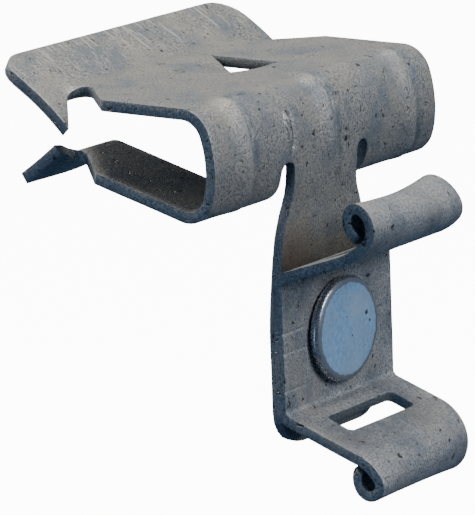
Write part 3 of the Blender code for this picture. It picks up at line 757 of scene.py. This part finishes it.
def finished(name, bm, materials, body, node):
    """Turns the mesh into a piece that rides on a body and stands for a CAD node."""
    mesh = bpy.data.meshes.new(name)
    bm.to_mesh(mesh)
    bm.free()
    for material in materials:
        mesh.materials.append(material)
    mesh.polygons.foreach_set("use_smooth", [True] * len(mesh.polygons))
    mesh.set_sharp_from_angle(angle=radians(SMOOTH_BELOW))
    obj = bpy.data.objects.new(name, mesh)
    bpy.context.scene.collection.objects.link(obj)
    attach(obj, body)
    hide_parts(node)
    return obj


def add(tree, kind, sockets=None, **settings):
    """Adds a node, with its settings, and sets or links its inputs."""
    node = tree.nodes.new("ShaderNode" + kind)
    for name, value in settings.items():
        setattr(node, name, value)
    for name, value in (sockets or {}).items():
        if isinstance(value, bpy.types.NodeSocket):
            tree.links.new(value, node.inputs[name])
        else:
            node.inputs[name].default_value = value
    return node


def grains(tree, place, size, detail=2.0, rough=0.5):
    """Noise whose features are about `size` across."""
    return add(tree, "TexNoise", {"Vector": place, "Scale": 1.0 / size, "Detail": detail,
                                  "Roughness": rough}).outputs["Fac"]


def between(tree, value, low, high, start=0.0, end=1.0):
    """Maps low..high to start..end, and holds it there outside."""
    return add(tree, "MapRange", {"Value": value, "From Min": low, "From Max": high,
                                  "To Min": start, "To Max": end}).outputs["Result"]


def mixed(tree, share, a, b):
    """A colour between a and b."""
    node = add(tree, "Mix", data_type="RGBA")
    for index, value in ((0, share), (6, a), (7, b)):
        if isinstance(value, bpy.types.NodeSocket):
            tree.links.new(value, node.inputs[index])
        else:
            node.inputs[index].default_value = value if index == 0 else (*value, 1.0)
    return node.outputs[2]


def worked_out(tree, operation, *values):
    """The result of a Math node."""
    return add(tree, "Math", dict(enumerate(values)), operation=operation).outputs[0]


def times(tree, a, b):
    return worked_out(tree, "MULTIPLY", a, b)


def largest(tree, values):
    total = values[0]
    for value in values[1:]:
        total = worked_out(tree, "MAXIMUM", total, value)
    return total


def distance_to(tree, place, centre):
    node = add(tree, "VectorMath", {0: place, 1: centre}, operation="DISTANCE")
    return node.outputs["Value"]


def spots(tree, place, centres):
    """1 inside small ragged spots (centre, radius), 0 outside."""
    wobble = grains(tree, place, SPOT_RAGGED, 2.0)
    masks = []
    for centre, radius in centres:
        reach = worked_out(tree, "MULTIPLY_ADD", wobble, radius * (2 + SPOT_WOBBLE),
                           -radius * SPOT_WOBBLE)
        inside = worked_out(tree, "SUBTRACT", reach, distance_to(tree, place, centre))
        masks.append(between(tree, inside, 0.0, radius * SPOT_SOFT))
    return largest(tree, masks)


def worn_strokes(tree, place):
    """Short light scratches across the flared lip, where the zinc is rubbed through."""
    stretched = add(tree, "VectorMath", {0: place, 1: STROKE_SCALE}, operation="MULTIPLY")
    lines = add(tree, "TexNoise", {"Vector": stretched.outputs["Vector"], "Scale": 1.0,
                                   "Detail": 1.0}).outputs["Fac"]
    height = add(tree, "SeparateXYZ", {"Vector": place}).outputs["Z"]
    on_lip = between(tree, height, LIP_STROKES_FROM, LIP_STROKES_FROM + 0.0006)
    return times(tree, between(tree, lines, *STROKE_RANGE, 0.0, STROKE_SHARE), on_lip)


def step_highlight_and_shade(tree, place):
    """Painted highlight along the ridges of the pressed steps, and painted shade along their feet.
    """
    parts = add(tree, "SeparateXYZ", {"Vector": place}).outputs
    on_back = times(tree, between(tree, parts["X"], STEP_PAINTED_LIGHT_FROM, STEP_PAINTED_LIGHT_FROM + STEP_RISE),
                    between(tree, parts["Z"], STEP_PAINTED_LIGHT_END, STEP_PAINTED_LIGHT_END + STEP_RISE))
    uneven = between(tree, grains(tree, place, STEP_SHARP * 3, 3.0), *STEP_PAINTED_LIGHT_RANGE, 0.3)
    bands = []
    for offset, reach in (STEP_HIGHLIGHT_BAND, STEP_SHADE_BAND):
        near = []
        for at in STEP_AT:
            away = worked_out(tree, "SUBTRACT", parts["Y"], at + offset)
            near.append(between(tree, worked_out(tree, "ABSOLUTE", away), reach, 0.0))
        bands.append(times(tree, times(tree, largest(tree, near), on_back), uneven))
    return bands


def finish(name, look, marks=(), stain=None, ring=None, strokes_and_step_light=False):
    """A procedural metal finish: grain, blotches, pits and wear in colour, gloss and relief, and
    painted highlight and painted shade along the steps.
    """
    material = bpy.data.materials.new(name)
    material.use_nodes = True
    tree = material.node_tree
    shader = tree.nodes["Principled BSDF"]
    place = add(tree, "TexCoord").outputs["Object"]
    fine = grains(tree, place, look["grain"], 3.0, 0.6)
    finer = grains(tree, place, look["grain"] * FINER, 2.0)
    broad = grains(tree, place, BLOTCH_SIZE, 6.0, 0.65)
    warm = grains(tree, place, TAN_SIZE, 4.0, 0.6)
    pitted = between(tree, grains(tree, place, PIT_SIZE, 2.0, 0.6), *look["pits"])
    colour = mixed(tree, between(tree, fine, *GRAIN_RANGE), look["dark"], look["pale"])
    for field, reach, most, tint in ((finer, FLECK_RANGE, FLECK_SHARE, "fleck"),
                                     (broad, BLOTCH_RANGE, BLOTCH_SHARE, "blotch"),
                                     (warm, TAN_RANGE, TAN_SHARE, "tan")):
        colour = mixed(tree, between(tree, field, *reach, 0.0, most), colour, look[tint])
    colour = mixed(tree, pitted, colour, PIT_COLOUR)
    low = pitted
    if marks:
        marked = spots(tree, place, marks)
        colour = mixed(tree, marked, colour, PIT_COLOUR)
        low = largest(tree, [low, marked])
    # Besides the scratches on the lip, this paints a highlight along each step's ridge and shade
    # along its foot.
    if strokes_and_step_light:
        colour = mixed(tree, worn_strokes(tree, place), colour, look["fleck"])
        # The first band is a painted highlight along each step's ridge, the second is painted
        # shade along each step's foot.
        ridge, foot_shade = step_highlight_and_shade(tree, place)
        colour = mixed(tree, times(tree, ridge, STEP_HIGHLIGHT_SHARE), colour, look["fleck"])
        colour = mixed(tree, times(tree, foot_shade, STEP_SHADE_SHARE), colour, STEP_SHADE_COLOUR)
    if ring:
        centre, radius, tint = ring
        ragged = worked_out(tree, "MULTIPLY_ADD", grains(tree, place, RING_RAGGED, 3.0),
                            RING_WIDTH * 2.5, distance_to(tree, place, centre))
        edge = radius + RING_WIDTH / 2
        colour = mixed(tree, between(tree, ragged, edge, edge + RING_WIDTH / 4), colour, tint)
    if stain:
        at, radius, tint = stain
        near = between(tree, distance_to(tree, place, at), radius, 0.0)
        share = times(tree, near, between(tree, fine, *STAIN_RANGE, 0.25))
        colour = mixed(tree, times(tree, share, STAIN_SHARE), colour, tint)
    tree.links.new(colour, shader.inputs["Base Color"])
    shader.inputs["Metallic"].default_value = look["metallic"]
    gloss = between(tree, fine, *GLOSS_RANGE, look["roughness"] + GLOSS_SPREAD,
                    look["roughness"] - GLOSS_SPREAD)
    tree.links.new(gloss, shader.inputs["Roughness"])
    height = worked_out(tree, "MULTIPLY_ADD", low, -PIT_DEPTH_SHARE, fine)
    bump = add(tree, "Bump", {"Strength": look["bump"], "Distance": GRAIN_HEIGHT,
                              "Height": height})
    tree.links.new(bump.outputs["Normal"], shader.inputs["Normal"])
    return material


def place_camera():
    """The photograph's viewpoint, with its slight roll."""
    a, e, roll = radians(AZIMUTH), radians(ELEVATION), radians(ROLL)
    right = Vector((cos(a), sin(a), 0))
    up = Vector((-sin(a) * sin(e), cos(a) * sin(e), cos(e)))
    back = Vector((sin(a) * cos(e), -cos(a) * cos(e), sin(e)))
    rolled_right = cos(roll) * right - sin(roll) * up
    rolled_up = sin(roll) * right + cos(roll) * up
    camera = bpy.data.objects.new("camera", bpy.data.cameras.new("camera"))
    bpy.context.scene.collection.objects.link(camera)
    camera.data.lens = LENS
    camera.data.clip_start, camera.data.clip_end = NEAR_CLIP, FAR_CLIP
    turn = Matrix((rolled_right, rolled_up, back)).transposed().to_4x4()
    camera.matrix_world = Matrix.Translation(AIM + back * DISTANCE) @ turn
    bpy.context.scene.camera = camera


def place_lights():
    """Soft area lights that all point at the part."""
    for name, place, size, energy, colour in LIGHTS:
        light = bpy.data.objects.new(name, bpy.data.lights.new(name, "AREA"))
        light.data.shape = "DISK"
        light.data.size, light.data.energy, light.data.color = size, energy, colour
        light.location = place
        light.rotation_euler = (Vector(place) - AIM).to_track_quat("Z", "Y").to_euler()
        light.visible_camera = False
        bpy.context.scene.collection.objects.link(light)
    world = bpy.data.worlds.new("soft surroundings")
    bpy.context.scene.world = world
    world.use_nodes = True
    background = world.node_tree.nodes["Background"]
    background.inputs["Color"].default_value = (*WORLD_COLOUR, 1.0)
    background.inputs["Strength"].default_value = WORLD_STRENGTH


def place_floor():
    """A plain pale floor that curves up into a wall all round, as a photographer's paper does."""
    profile = [(0.0, 0.0)] + [
        (FLOOR_RADIUS + FLOOR_CURVE * sin(a), FLOOR_CURVE * (1 - cos(a)))
        for a in (radians(90.0) * k / FLOOR_STEPS for k in range(FLOOR_STEPS + 1))]
    profile.append((FLOOR_RADIUS + FLOOR_CURVE, FLOOR_CURVE * 2.0))
    bm = bmesh.new()
    turn = 2 * pi / FLOOR_SIDES
    rings = [[bm.verts.new((r * cos(turn * k), r * sin(turn * k), FLOOR_Z + z))
              for k in range(FLOOR_SIDES if r else 1)] for r, z in profile]
    for a, b in zip(rings, rings[1:]):
        for k in range(FLOOR_SIDES):
            corners = [a[k % len(a)], b[k], b[(k + 1) % FLOOR_SIDES], a[(k + 1) % len(a)]]
            bm.faces.new(list(dict.fromkeys(corners)))
    mesh = bpy.data.meshes.new("floor")
    bm.to_mesh(mesh)
    bm.free()
    paper = bpy.data.materials.new("pale paper")
    paper.use_nodes = True
    shader = paper.node_tree.nodes["Principled BSDF"]
    shader.inputs["Base Color"].default_value = (0.9, 0.9, 0.9, 1.0)
    shader.inputs["Roughness"].default_value = 0.9
    shader.inputs["Emission Color"].default_value = (1.0, 0.995, 0.985, 1.0)
    shader.inputs["Emission Strength"].default_value = FLOOR_GLOW
    mesh.materials.append(paper)
    floor = bpy.data.objects.new("floor", mesh)
    bpy.context.scene.collection.objects.link(floor)
    floor.visible_diffuse = False  # the lights alone shape the part
    floor.visible_glossy = False


def main():
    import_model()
    place_camera()
    sheet = finish("grainy zinc-coated steel", SHEET, CLIP_MARKS, RUST, strokes_and_step_light=True)
    # The cut edges' finish carries painted shade: darker and bluer than the sheet.
    sheared = finish("sheared edge of the sheet in painted shade", SHEARED_AND_SHADED)
    strip = finish("grainy zinc-coated strip", STRIP, STRIP_MARKS)
    zinc = finish("bright zinc", ZINC, RIVET_MARKS, ring=HEAD_RING)
    rim = finish("turned rim", RIM)
    make_clip((sheet, sheared))
    make_bracket((strip, sheared))
    make_rivet((zinc, rim))
    place_lights()
    place_floor()


main()
